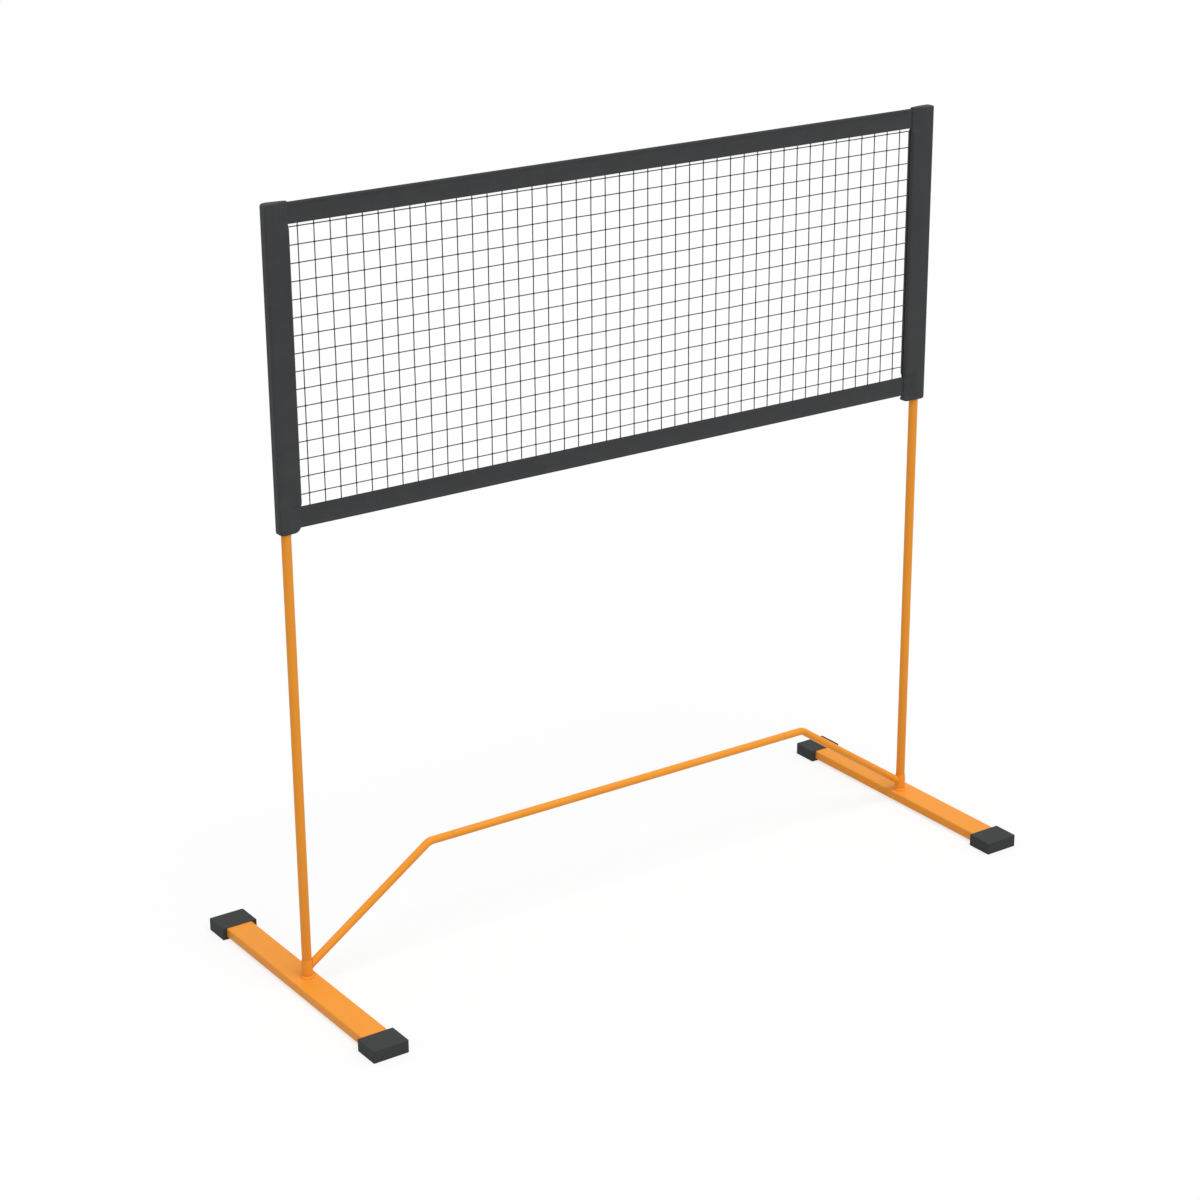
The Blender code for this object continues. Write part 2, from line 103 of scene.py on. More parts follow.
def linearColour(hexColour):
    # undoes the sRGB curve of a colour written as #rrggbb
    channels = [int(hexColour[i:i + 2], 16) / 255 for i in (1, 3, 5)]
    linear = [c / 12.92 if c <= 0.04045 else ((c + 0.055) / 1.055) ** 2.4 for c in channels]
    return (*linear, 1.0)


def perMetre(sizeMm):
    # noise cells of that size, for coordinates in metres
    return 1000 / sizeMm


def wavesPerMetre(pitchMm):
    # a band texture's scale for that pitch: its own period is a twentieth of a full turn
    return 2 * math.pi / 20 * 1000 / pitchMm


def shades(low, high):
    # what a Mix node is set to for two colours, which are its sockets 6 and 7
    return {"data_type": "RGBA", 6: linearColour(low), 7: linearColour(high)}


def addNode(tree, kind, settings=None, links=None):
    node = tree.nodes.new("ShaderNode" + kind)
    for name, value in (settings or {}).items():
        if isinstance(name, str) and hasattr(node, name):
            setattr(node, name, value)
        else:
            node.inputs[name].default_value = value
    for name, source in (links or {}).items():
        tree.links.new(source, node.inputs[name])
    return node


def newMaterial(name, finish):
    material = bpy.data.materials.new(name)
    material.use_nodes = True
    tree = material.node_tree
    shader = tree.nodes["Principled BSDF"]
    for socket, value in finish.items():
        shader.inputs[socket].default_value = value
    return material, tree, shader


def linkShader(tree, shader, colour, gloss=None, bump=None):
    tree.links.new(colour.outputs[2], shader.inputs["Base Color"])
    if gloss:
        tree.links.new(gloss.outputs[0], shader.inputs["Roughness"])
    if bump:
        tree.links.new(bump.outputs[0], shader.inputs["Normal"])


def powderCoat():
    # Polyester powder coat baked on steel tube: an even satin orange with a faint orange peel
    finish = {"Roughness": 0.38, "Specular IOR Level": 0.14}
    material, tree, shader = newMaterial("satin orange powder coat on steel", finish)
    where = {"Vector": addNode(tree, "TexCoord").outputs["Object"]}
    cloud = addNode(tree, "TexNoise", {"Scale": perMetre(90), "Detail": 2.0}, where)
    peel = addNode(tree, "TexNoise", {"Scale": perMetre(1.6), "Detail": 1.5}, where).outputs["Fac"]
    colour = addNode(tree, "Mix", shades("#f5992c", "#f9a137"), {0: cloud.outputs["Fac"]})
    gloss = addNode(tree, "MapRange", {"To Min": 0.34, "To Max": 0.42}, {"Value": peel})
    bump = addNode(tree, "Bump", {"Strength": 0.25, "Distance": 0.06 * mm}, {"Height": peel})
    linkShader(tree, shader, colour, gloss, bump)
    return material


def mouldedRubber():
    # Injection moulded rubber: dark grey and matt, with a fine spark-eroded grain and scuffs
    finish = {"Roughness": 0.7, "Specular IOR Level": 0.12}
    material, tree, shader = newMaterial("matt dark moulded rubber", finish)
    where = {"Vector": addNode(tree, "TexCoord").outputs["Object"]}
    grain = addNode(tree, "TexNoise", {"Scale": perMetre(0.9), "Detail": 3.0}, where)
    wear = {"Scale": perMetre(22), "Detail": 6.0, "Roughness": 0.62}
    scuff = addNode(tree, "TexNoise", wear, where).outputs["Fac"]
    colour = addNode(tree, "Mix", shades("#373939", "#434545"), {0: scuff})
    gloss = addNode(tree, "MapRange", {"To Min": 0.6, "To Max": 0.8}, {"Value": scuff})
    relief = {"Strength": 0.5, "Distance": 0.08 * mm}
    bump = addNode(tree, "Bump", relief, {"Height": grain.outputs["Fac"]})
    linkShader(tree, shader, colour, gloss, bump)
    return material


def wovenCloth():
    # Coated polyester in a plain weave: near black grey, dull, with a soft sheen at its edges. The
    # threads of such cloth are 0.6 mm apart and are drawn at 1.1 mm, so that they show from close by
    finish = {
        "Roughness": 0.82,
        "Specular IOR Level": 0.25,
        "Sheen Weight": 0.08,
        "Sheen Roughness": 0.5,
    }
    material, tree, shader = newMaterial("dark grey woven polyester", finish)
    surface = {"Vector": addNode(tree, "TexCoord").outputs["UV"]}
    threads = {"Scale": wavesPerMetre(2.2)}
    warp = addNode(tree, "TexWave", {**threads, "bands_direction": "X"}, surface).outputs["Fac"]
    weft = addNode(tree, "TexWave", {**threads, "bands_direction": "Y"}, surface).outputs["Fac"]
    apart = addNode(tree, "Math", {"operation": "SUBTRACT"}, {0: warp, 1: weft}).outputs[0]
    weave = addNode(tree, "Math", {"operation": "ABSOLUTE"}, {0: apart}).outputs[0]
    where = {"Vector": addNode(tree, "TexCoord").outputs["Object"]}
    cloud = addNode(tree, "TexNoise", {"Scale": perMetre(45), "Detail": 4.0}, where).outputs["Fac"]
    mottle = addNode(tree, "MapRange", {"To Min": 0.0, "To Max": 0.6}, {"Value": cloud}).outputs[0]
    threadShade = {"operation": "MULTIPLY_ADD", 1: 0.5}  # half the weave on top of the mottle
    shade = addNode(tree, "Math", threadShade, {0: weave, 2: mottle}).outputs[0]
    colour = addNode(tree, "Mix", shades("#323334", "#434546"), {0: shade})
    bump = addNode(tree, "Bump", {"Strength": 0.5, "Distance": 0.12 * mm}, {"Height": weave})
    linkShader(tree, shader, colour, bump=bump)
    return material


def netTwine():
    # Twisted polyethylene twine: mid grey, a little waxy, its lay drawn at 3 mm along the cord
    material, tree, shader = newMaterial("grey twisted polyethylene twine", {"Roughness": 0.6})
    surface = {"Vector": addNode(tree, "TexCoord").outputs["UV"]}
    strands = {"bands_direction": "DIAGONAL", "Scale": wavesPerMetre(1.6)}
    lay = addNode(tree, "TexWave", strands, surface).outputs["Fac"]
    colour = addNode(tree, "Mix", shades("#2b2c2d", "#454748"), {0: lay})
    bump = addNode(tree, "Bump", {"Strength": 0.6, "Distance": 0.15 * mm}, {"Height": lay})
    linkShader(tree, shader, colour, bump=bump)
    return material


def sewingThread():
    # Bonded polyester thread, a shade lighter than the cloth
    material, tree, shader = newMaterial("dark grey sewing thread", {"Roughness": 0.55})
    where = {"Vector": addNode(tree, "TexCoord").outputs["Object"]}
    fibre = addNode(tree, "TexNoise", {"Scale": perMetre(0.7), "Detail": 2.0}, where)
    colour = addNode(tree, "Mix", shades("#363839", "#484b4c"), {0: fibre.outputs["Fac"]})
    linkShader(tree, shader, colour)
    return material


def mouldedNylon():
    # Moulded nylon, black with a dull gloss
    material, tree, shader = newMaterial("black moulded nylon", {"Roughness": 0.45})
    where = {"Vector": addNode(tree, "TexCoord").outputs["Object"]}
    grain = addNode(tree, "TexNoise", {"Scale": perMetre(1.2), "Detail": 3.0}, where).outputs["Fac"]
    colour = addNode(tree, "Mix", shades("#1d1e20", "#292b2d"), {0: grain})
    gloss = addNode(tree, "MapRange", {"To Min": 0.4, "To Max": 0.55}, {"Value": grain})
    linkShader(tree, shader, colour, gloss)
    return material


def zincPlate():
    # Bright zinc plate on steel: silvery, with fine draw lines along the tube
    finish = {"Roughness": 0.32, "Metallic": 1.0}
    material, tree, shader = newMaterial("bright zinc plated steel", finish)
    where = {"Vector": addNode(tree, "TexCoord").outputs["Object"]}
    drawn = {"Scale": (1.0, 1.0, 0.02)}  # stretches the noise along the tube
    along = {"Vector": addNode(tree, "Mapping", drawn, where).outputs[0]}
    lines = addNode(tree, "TexNoise", {"Scale": perMetre(0.8), "Detail": 3.0}, along).outputs["Fac"]
    colour = addNode(tree, "Mix", shades("#aeb2b5", "#d2d5d7"), {0: lines})
    gloss = addNode(tree, "MapRange", {"To Min": 0.24, "To Max": 0.42}, {"Value": lines})
    linkShader(tree, shader, colour, gloss)
    return material


finishes = {
    "orange_powder_coat": powderCoat(),
    "dark_rubber": mouldedRubber(),
    "black_plastic": mouldedNylon(),
    "bright_steel": zincPlate(),
    "dark_cloth": wovenCloth(),
    "net_cord": netTwine(),
}
stitchThread = sewingThread()
print("materials mixed")


# Studio: pale floor, even sky and one wide soft lamp overhead

studio = {
    "floorReach": 60.0,
    "floorShade": "#d8d8d8",  # what the floor throws back on the net
    "shadowShare": 0.25,  # how much of the white that the camera sees is shaded floor
    "sky": 0.54,
    "lamp": 0.46,
    "lampTilt": 22.0,
    "lampTurn": 2.0,
    "lampWidth": 34.0,
}


def seenOrSoft(tree, soft, direct):
    # direct is what the camera, gloss and glass see, and soft is what lights the rest
    path = addNode(tree, "LightPath").outputs
    seen = path["Is Camera Ray"]
    for ray in ("Is Glossy Ray", "Is Transmission Ray"):
        either = {0: seen, 1: path[ray]}
        seen = addNode(tree, "Math", {"operation": "MAXIMUM"}, either).outputs[0]
    links = {0: seen, 1: soft.outputs[0], 2: direct.outputs[0]}
    return addNode(tree, "MixShader", None, links).outputs[0]


def makeFloor(values):
    bm = bmesh.new()
    bmesh.ops.create_grid(bm, x_segments=1, y_segments=1, size=values["floorReach"])
    floor = addObject("studioFloor", newMesh("studioFloor", bm))
    material = bpy.data.materials.new("pale studio floor")
    material.use_nodes = True
    tree = material.node_tree
    tree.nodes.clear()
    share = values["shadowShare"]
    plain = addNode(tree, "BsdfDiffuse", {"Color": linearColour(values["floorShade"])})
    shaded = addNode(tree, "BsdfDiffuse", {"Color": (share, share, share, 1.0)})
    lit = addNode(tree, "Emission", {"Strength": 1 - share})
    white = addNode(tree, "AddShader", None, {0: shaded.outputs[0], 1: lit.outputs[0]})
    addNode(tree, "OutputMaterial", None, {"Surface": seenOrSoft(tree, plain, white)})
    floor.data.materials.append(material)


def makeSky(values):
    world = bpy.data.worlds.new("studio sky")
    world.use_nodes = True
    tree = world.node_tree
    tree.nodes.clear()
    pale = (1.0, 1.0, 1.0, 1.0)
    soft = addNode(tree, "Background", {"Color": pale, "Strength": values["sky"]})
    white = addNode(tree, "Background", {"Color": pale, "Strength": 1.0})
    addNode(tree, "OutputWorld", None, {"Surface": seenOrSoft(tree, soft, white)})
    scene.world = world


def makeLamp(values):
    # its strength is set so that sky and lamp together light a level face at 1
    data = bpy.data.lights.new("overhead lamp", "SUN")
    tilt = math.radians(values["lampTilt"])
    data.energy = math.pi * values["lamp"] / math.cos(tilt)
    data.angle = math.radians(values["lampWidth"])
    turn = Matrix.Rotation(math.radians(values["lampTurn"]), 4, "Z")
    addObject("overhead lamp", data).matrix_world = turn @ Matrix.Rotation(tilt, 4, "X")


makeFloor(studio)
makeSky(studio)
makeLamp(studio)
print("studio lit")


# Making and placing pieces

def place(name, bm, body, slot, replaces=(), material=None, smoothAngle=35):
    return placeMesh(name, newMesh(name, bm), body, slot, replaces, material, smoothAngle)


def placeMesh(name, mesh, body, slot, replaces=(), material=None, smoothAngle=35):
    # edges that turn by more than smoothAngle, in degrees, stay sharp
    mesh.materials.clear()
    mesh.materials.append(material or finishes[slot])
    mesh.shade_smooth()
    mesh.set_sharp_from_angle(angle=math.radians(smoothAngle))
    mesh.name = name
    piece = addObject(name, mesh)
    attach(piece, body)
    if replaces:
        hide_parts(*replaces)
    return piece


def settled(form, helpers=()):
    # the form with its modifiers applied, as a mesh of its own
    bpy.context.view_layer.update()
    depsgraph = bpy.context.evaluated_depsgraph_get()
    result = bpy.data.meshes.new_from_object(form.evaluated_get(depsgraph))
    for extra in (form, *helpers):
        bpy.data.objects.remove(extra, do_unlink=True)
    return result


def carved(name, bm, cutters):
    # the form less its cutters
    form = addObject(name, newMesh(name, bm))
    helpers = [addObject(f"{name} cutter", newMesh(f"{name} cutter", c)) for c in cutters]
    for helper in helpers:
        boolean = form.modifiers.new("cut", "BOOLEAN")
        boolean.operation = "DIFFERENCE"
        boolean.solver = "EXACT"
        boolean.object = helper
    return settled(form, helpers)


def repeated(name, bm, *runs):
    # the form again and again, with a count and a step for each run
    form = addObject(name, newMesh(name, bm))
    for count, step in runs:
        array = form.modifiers.new("repeat", "ARRAY")
        array.count = count
        array.use_relative_offset = False
        array.use_constant_offset = True
        array.constant_offset_displace = step
    return settled(form)


def joined(bm, other):
    mesh = newMesh("joined", other)
    bm.from_mesh(mesh)
    bpy.data.meshes.remove(mesh)
    return bm


def box(low, high):
    bm = bmesh.new()
    middle = (Vector(low) + Vector(high)) / 2
    size = Vector(high) - Vector(low)
    matrix = Matrix.Translation(middle) @ Matrix.Diagonal((*size, 1.0))
    bmesh.ops.create_cube(bm, size=1.0, matrix=matrix)
    return bm


def rod(start, end, radius, segments=64):
    bm = bmesh.new()
    start, end = Vector(start), Vector(end)
    turn = Vector((0, 0, 1)).rotation_difference(end - start).to_matrix().to_4x4()
    bmesh.ops.create_cone(
        bm,
        cap_ends=True,
        segments=segments,
        radius1=radius,
        radius2=radius,
        depth=(end - start).length,
        matrix=Matrix.Translation((start + end) / 2) @ turn,
    )
    return bm


def softened(bm, edges, radius, steps):
    bmesh.ops.bevel(
        bm,
        geom=edges,
        offset=radius,
        segments=steps,
        profile=0.5,
        affect="EDGES",
        material=-1,
    )


def turned(bm, steps):
    # carries the section so far once round the vertical
    bmesh.ops.spin(
        bm,
        geom=[*bm.verts, *bm.edges],
        cent=(0, 0, 0),
        axis=(0, 0, 1),
        angle=2 * math.pi,
        steps=steps,
        use_merge=True,
    )


def hollowed(bm, wall):
    # opens the two ends of a bar, its only faces of many corners, and bridges them inside it
    ends = [f for f in bm.faces if len(f.verts) > 4]
    bmesh.ops.inset_individual(bm, faces=ends, thickness=wall, use_even_offset=True)
    bmesh.ops.delete(bm, geom=ends, context="FACES")
    mouths = [e for e in bm.edges if e.is_boundary]
    bmesh.ops.bridge_loops(bm, edges=mouths)
    bmesh.ops.recalc_face_normals(bm, faces=bm.faces)


def lengthened(bm, edges, travel):
    # draws open loops of edges out along a straight
    made = bmesh.ops.extrude_edge_only(bm, edges=edges)["geom"]
    corners = [part for part in made if isinstance(part, bmesh.types.BMVert)]
    bmesh.ops.translate(bm, verts=corners, vec=travel)
    return [part for part in made if isinstance(part, bmesh.types.BMEdge) and part.is_boundary]


def arcPoints(centre, radius, start, end, steps):
    # points on an arc, angles in degrees, both ends included
    angles = [math.radians(start + (end - start) * i / steps) for i in range(steps + 1)]
    return [(centre[0] + radius * math.cos(a), centre[1] + radius * math.sin(a)) for a in angles]


def spread(low, high, pitch):
    # even steps from low to high, both included, about that far apart
    count = max(1, round(abs(high - low) / pitch))
    return [low + (high - low) * i / count for i in range(count + 1)]


def eased(value, low, high):
    share = min(1.0, max(0.0, (value - low) / (high - low)))
    return share * share * (3 - 2 * share)


def skin(rings, bm=None):
    # cloth or cord over rings of points, with a UV map in metres: round the ring and along it
    bm = bm or bmesh.new()
    surface = bm.loops.layers.uv.verify()
    verts = [[bm.verts.new(point) for point in ring] for ring in rings]
    count = len(rings[0])
    middle = [Vector(point) for point in rings[len(rings) // 2]]
    across = [0.0]
    for i in range(count):
        across.append(across[-1] + (middle[(i + 1) % count] - middle[i]).length)
    along = [0.0]
    for lower, upper in zip(verts, verts[1:]):
        along.append(along[-1] + (upper[0].co - lower[0].co).length)
    for j, (lower, upper) in enumerate(zip(verts, verts[1:])):
        for i in range(count):
            k = (i + 1) % count
            face = bm.faces.new((lower[i], lower[k], upper[k], upper[i]))
            corners = ((i, j), (i + 1, j), (i + 1, j + 1), (i, j + 1))
            for loop, (u, v) in zip(face.loops, corners):
                loop[surface].uv = (across[u], along[v])
    bm.faces.new(verts[0])
    bm.faces.new(verts[-1])
    bmesh.ops.recalc_face_normals(bm, faces=bm.faces)
    return bm


def ringAt(centre, direction, radius, steps):
    # a round section square to a direction in the plane of the net
    up = Vector(direction).cross(Vector((0, 1, 0)))
    return [
        Vector(centre) + Vector((0, across, 0)) + up * rise
        for across, rise in arcPoints((0, 0), radius, 0, 360 - 360 / steps, steps - 1)
    ]


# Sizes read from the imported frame

postLow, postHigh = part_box("lower_post_right")
postX = (postLow.x + postHigh.x) / 2
postRadius = (postHigh.y - postLow.y) / 2
sleeveLow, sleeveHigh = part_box("side_sleeve_right")
topBandLow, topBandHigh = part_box("top_band")
lowBandLow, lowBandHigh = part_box("bottom_band")
netLow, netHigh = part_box("net_mesh")
runLow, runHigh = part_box("crossbar_tube")
legLow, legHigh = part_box("crossbar_leg_right")
socketLow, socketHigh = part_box("post_socket_right")
capLow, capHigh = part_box("end_cap_rear_right")
barLow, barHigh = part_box("base_bar_right")


# Side sleeves: cloth pockets drawn over the posts, tapered towards the net

sleeve = {
    "inboard": postX - sleeveLow.x,
    "outboard": sleeveHigh.x - postX,
    "foot": sleeveLow.z,
    "top": sleeveHigh.z,
    "half": (sleeveHigh.y - sleeveLow.y) / 2,
    "innerHalf": 9.2 * mm,
    "bandHalf": 4.3 * mm,  # where a band draws the inner edge in
    "bandEase": 10.0 * mm,
    "taperStart": 2.0 * mm,  # past the post's axis, towards the net
    "wall": 1.2 * mm,
    "endRound": 5.0 * mm,
    "topRound": 3.0 * mm,
    "topOuter": 6.0 * mm,
    "topInner": 1.5 * mm,
    "rightTopOuter": 2.5 * mm,  # the right sleeve is sewn squarer and wider than the left one
    "rightWider": 3.0 * mm,
    "rightFootInner": 4.0 * mm,
    "rightLonger": 2.5 * mm,
    "leftNarrower": 1.6 * mm,
    "leftShorter": 3.5 * mm,
    "footOuter": 4.0 * mm,
    "footInner": 14.0 * mm,
    "cornerSteps": 7,
    "levelPitch": 4.0 * mm,
    "sidePitch": 3.4 * mm,
    "wave": 0.55 * mm,
    "mouthRadius": postRadius + 0.2 * mm,
    "cutWidth": 126 * mm,  # of the cloth before it is sewn round the post
    "seamInset": 5.0 * mm,
    "seamTopGap": 4.5 * mm,
    "hemRise": 7.0 * mm,
    "hemOuterGap": 7.0 * mm,
    "hemInnerGap": 9.0 * mm,
    "slotHalf": 3.6 * mm,  # where a band passes
    "slotNetHalf": 1.4 * mm,  # at the net between the bands
    "slotClear": 0.3 * mm,
    "slotReach": 3.0 * mm,
    "mouthReach": 5.0 * mm,
    "drapeSeed": 7.3,
    "drapeRearSeed": 3.1,  # added for the rear of a pocket
    "drapeSlow": (22, 9),  # waves per metre or so, across and down
    "drapeQuick": (60, 31),
    "drapeQuickShare": 0.22,
    "drapeOuterEase": 14 * mm,
    "drapeInnerEase": 8 * mm,
    "drapeHemEase": 30 * mm,
    "drapeTopFlat": 2 * mm,
    "drapeTopEase": 30 * mm,
}


def cornerReach(depth, radius):
    # how far a rounded corner stands back from its side, at a depth from its end
    radius = max(0.0, radius)
    rest = min(radius, max(0.0, radius - depth))
    return radius - math.sqrt(radius * radius - rest * rest)


def clothWave(x, z, seed):
    # soft drape, from 0 to 1
    (slowX, slowZ), (quickX, quickZ) = sleeve["drapeSlow"], sleeve["drapeQuick"]
    slow = noise.noise(Vector((x * slowX + seed, seed, z * slowZ)))
    quick = noise.noise(Vector((x * quickX + seed, z * quickZ, seed)))
    return min(1.0, max(0.0, 0.5 + 0.5 * slow + sleeve["drapeQuickShare"] * quick))


def clothSeeds(side):
    # one for the front of the pocket, one for its rear
    front = sleeve["drapeSeed"] * side
    return (front, front + sleeve["drapeRearSeed"])


def innerHalf(height, values):
    # half the thickness at the inner edge, which is drawn in where a band is sewn to it
    ease = values["bandEase"]
    drawn = 0.0
    for low, high in ((lowBandLow.z, lowBandHigh.z), (topBandLow.z, topBandHigh.z)):
        drawn += eased(height, low - ease, low) * (1 - eased(height, high, high + ease))
    return values["innerHalf"] + (values["bandHalf"] - values["innerHalf"]) * drawn


def pocketHalf(x, height, inset, values):
    # half the pocket's thickness at a distance from the post's axis
    lost = values["half"] - innerHalf(height, values)
    reach = values["inboard"] - inset - values["taperStart"]
    return values["half"] - inset - lost * max(0.0, x - values["taperStart"]) / reach


def drape(x, height, ends, seed, values):
    # how far the hanging cloth stands out of flat
    low, high = ends
    across = eased(x, low, low + values["drapeOuterEase"])
    across *= 1 - eased(x, high - values["drapeInnerEase"], high)
    hem = eased(height - values["foot"], 0, values["drapeHemEase"])
    top = eased(values["top"] - height, values["drapeTopFlat"], values["drapeTopEase"])
    return values["wave"] * across * hem * top * clothWave(x, height, seed)


def sleeveSection(height, inset, values, seeds=None):
    # level outline at a height; x runs from the post's axis towards the net
    below = height - values["foot"] - inset
    above = values["top"] - inset - height
    outer = max(
        cornerReach(below, values["footOuter"] - inset),
        cornerReach(above, values["topOuter"] - inset),
    )
    inner = max(
        cornerReach(below, values["footInner"] - inset),
        cornerReach(above, values["topInner"] - inset),
    )
    low = -values["outboard"] + inset + outer
    high = values["inboard"] - inset - inner
    half = values["half"] - inset
    rim = half - cornerReach(above, values["topRound"] - inset)
    radius = values["endRound"] - inset
    centres = (
        (low + radius, -rim + radius, 180),
        (high - radius, -rim + radius, 270),
        (high - radius, rim - radius, 0),
        (low + radius, rim - radius, 90),
    )
    lengths = (values["inboard"] + values["outboard"], 2 * half) * 2
    outline = []
    for i, (x, y, start) in enumerate(centres):
        outline += arcPoints((x, y), radius, start, start + 90, values["cornerSteps"])
        nextX, nextY, nextStart = centres[(i + 1) % 4]
        turn = math.radians(nextStart)
        toward = (nextX + radius * math.cos(turn), nextY + radius * math.sin(turn))
        count = round(lengths[i] / values["sidePitch"])
        here = outline[-1]
        for k in range(1, count):
            share = k / count
            outline.append(tuple(a + (b - a) * share for a, b in zip(here, toward)))
    points = []
    for x, y in outline:
        y *= pocketHalf(x, height, inset, values) / half
        if seeds:
            y += y / half * drape(x, height, (low, high), seeds[y > 0], values)
        points.append((x, y, height))
    return points


def sleeveForm(side, inset, values, seeds=None):
    foot, top = values["foot"] + inset, values["top"] - inset
    footDepth = max(values["footInner"], values["footOuter"]) - inset
    topDepth = max(values["topOuter"], values["topRound"]) - inset
    quarter = [c for c, _ in arcPoints((0, 0), 1, 0, 90, values["cornerSteps"])]
    levels = [foot + footDepth * (1 - c) for c in quarter]
    levels += spread(foot + footDepth, top - topDepth, values["levelPitch"])[1:-1]
    levels += [top - topDepth * (1 - c) for c in reversed(quarter)]
    rings = []
    for level in levels:
        section = sleeveSection(level, inset, values, seeds)
        rings.append([(side * (postX - x), y, z) for x, y, z in section])
    return skin(rings)


def sleeveSlots(side, values):
    # the open inner edge, wide where the two bands pass and narrow at the net between them
    edge = side * (postX - values["inboard"])
    reach = side * values["slotReach"]
    low, high = sorted((edge - reach, edge + reach))
    wide, narrow, clear = (values[key] for key in ("slotHalf", "slotNetHalf", "slotClear"))
    return [
        box((low, -wide, lowBandLow.z - clear), (high, wide, lowBandHigh.z)),
        box((low, -wide, topBandLow.z), (high, wide, topBandHigh.z + clear)),
        box((low, -narrow, lowBandHigh.z - clear), (high, narrow, topBandLow.z + clear)),
    ]


def makeSleeve(name, side, values):
    foot = Vector((side * postX, 0, values["foot"]))
    reach = Vector((0, 0, values["mouthReach"]))
    mouth = rod(foot - reach, foot + reach, values["mouthRadius"])
    outside = sleeveForm(side, 0.0, values, clothSeeds(side))
    hollow = sleeveForm(side, values["wall"], values)
    mesh = carved(f"sleeve {name}", outside, [hollow, mouth, *sleeveSlots(side, values)])
    node = f"side_sleeve_{name}"
    return placeMesh(f"cloth_sleeve_{name}", mesh, "net_carriage", "dark_cloth", [node])


sleeves = {
    "left": {
        **sleeve,
        "outboard": sleeve["outboard"] - sleeve["leftNarrower"],
        "foot": sleeve["foot"] + sleeve["leftShorter"],
    },
    "right": {
        **sleeve,
        "outboard": sleeve["outboard"] + sleeve["rightWider"],
        "foot": sleeve["foot"] - sleeve["rightLonger"],
        "topOuter": sleeve["rightTopOuter"],
        "footInner": sleeve["rightFootInner"],
    },
}
sleevePieces = {name: makeSleeve(name, side, sleeves[name]) for name, side in sides.items()}
print("sleeves sewn")


# Bands: tape folded over a tension cord, stitched under the cord and near the open edge

band = {
    "wall": 1.2 * mm,
    "foldRadius": (topBandHigh.y - topBandLow.y) / 2,
    "pinchDepth": 9.0 * mm,
    "pinchHalf": 2.1 * mm,
    "openHalf": 3.0 * mm,
    "flareDepth": 24.0 * mm,  # where the tape starts to open towards its edge
    "foldSteps": 14,
    "depthPitch": 2.2 * mm,
    "stationPitch": 4.0 * mm,
    "wave": 0.8 * mm,
    "waveNoise": (7, 20),  # along the tape and across it
    "pucker": 0.16 * mm,
    "puckerNoise": (110, 60),
    "puckerSeed": 5,
    "smoothAngle": 60,
    "seamInset": 4.5 * mm,
    "seamEndGap": 2.0 * mm,
    "cutWidth": 80 * mm,  # of the tape before it is folded
}


def bandHalf(depth, height, values):
    # half the thickness of the folded tape at a depth from the fold
    radius = values["foldRadius"]
    pinched = radius + (values["pinchHalf"] - radius) * eased(depth, radius, values["pinchDepth"])
    opening = values["openHalf"] - values["pinchHalf"]
    return pinched + opening * eased(depth, values["flareDepth"], height)


def bandShift(x, depth, height, seed, values):
    # how far the tape stands out of line, to the rear
    along, across = values["waveNoise"]
    slow = noise.noise(Vector((x * along, seed, depth * across)))
    return values["wave"] * slow * depth / height


def bandPucker(x, depth, seed, values):
    # gathers between the stitches
    along, across = values["puckerNoise"]
    spot = Vector((x * along, seed + values["puckerSeed"], depth * across))
    return values["pucker"] * noise.noise(spot)


def bandSection(height, values):
    # across and depth for the outside of the folded tape, from one open edge round to the other
    radius = values["foldRadius"]
    depths = spread(radius, height, values["depthPitch"])
    side = [(bandHalf(depth, height, values), depth) for depth in depths[1:]]
    fold = arcPoints((0, radius), radius, 0, -180, values["foldSteps"])
    outside = list(reversed(side)) + fold + [(-across, depth) for across, depth in side]
    wall = values["wall"]
    inside = []
    for across, depth in reversed(outside):
        if depth < radius:
            share = (radius - wall) / radius
            inside.append((across * share, radius + (depth - radius) * share))
        else:
            inside.append((across - math.copysign(wall, across), depth))
    return outside, inside


def makeBand(name, low, high, up, seed, values):
    # the fold is on the band's upper edge where up is 1, on its lower edge where it is -1
    height = high.z - low.z
    fold = high.z if up > 0 else low.z
    outside, inside = bandSection(height, values)
    rings = []
    for x in spread(low.x, high.x, values["stationPitch"]):
        gathered = [
            (across + math.copysign(1, across) * bandPucker(x, depth, seed, values), depth)
            for across, depth in outside
        ]
        rings.append(
            [
                (x, across + bandShift(x, depth, height, seed, values), fold - up * depth)
                for across, depth in gathered + inside
            ]
        )
    piece, angle = f"cloth_{name}", values["smoothAngle"]
    return place(piece, skin(rings), "net_carriage", "dark_cloth", [name], smoothAngle=angle)


bandPlans = {  # low and high corners, which way the fold faces, seed of the waves
    "top_band": (topBandLow, topBandHigh, 1, 2.0),
    "bottom_band": (lowBandLow, lowBandHigh, -1, 9.0),
}
bandPieces = {name: makeBand(name, *plan, band) for name, plan in bandPlans.items()}
print("bands folded")


# Stitches: rows of lock stitch in bonded thread, front and rear

stitch = {
    "length": 3.3 * mm,
    "pitch": 4.4 * mm,
    "radius": 0.32 * mm,
    "lift": 0.08 * mm,  # of the thread's middle above the cloth
    "round": 6,
    "rings": 5,
    "smoothAngle": 60,
}


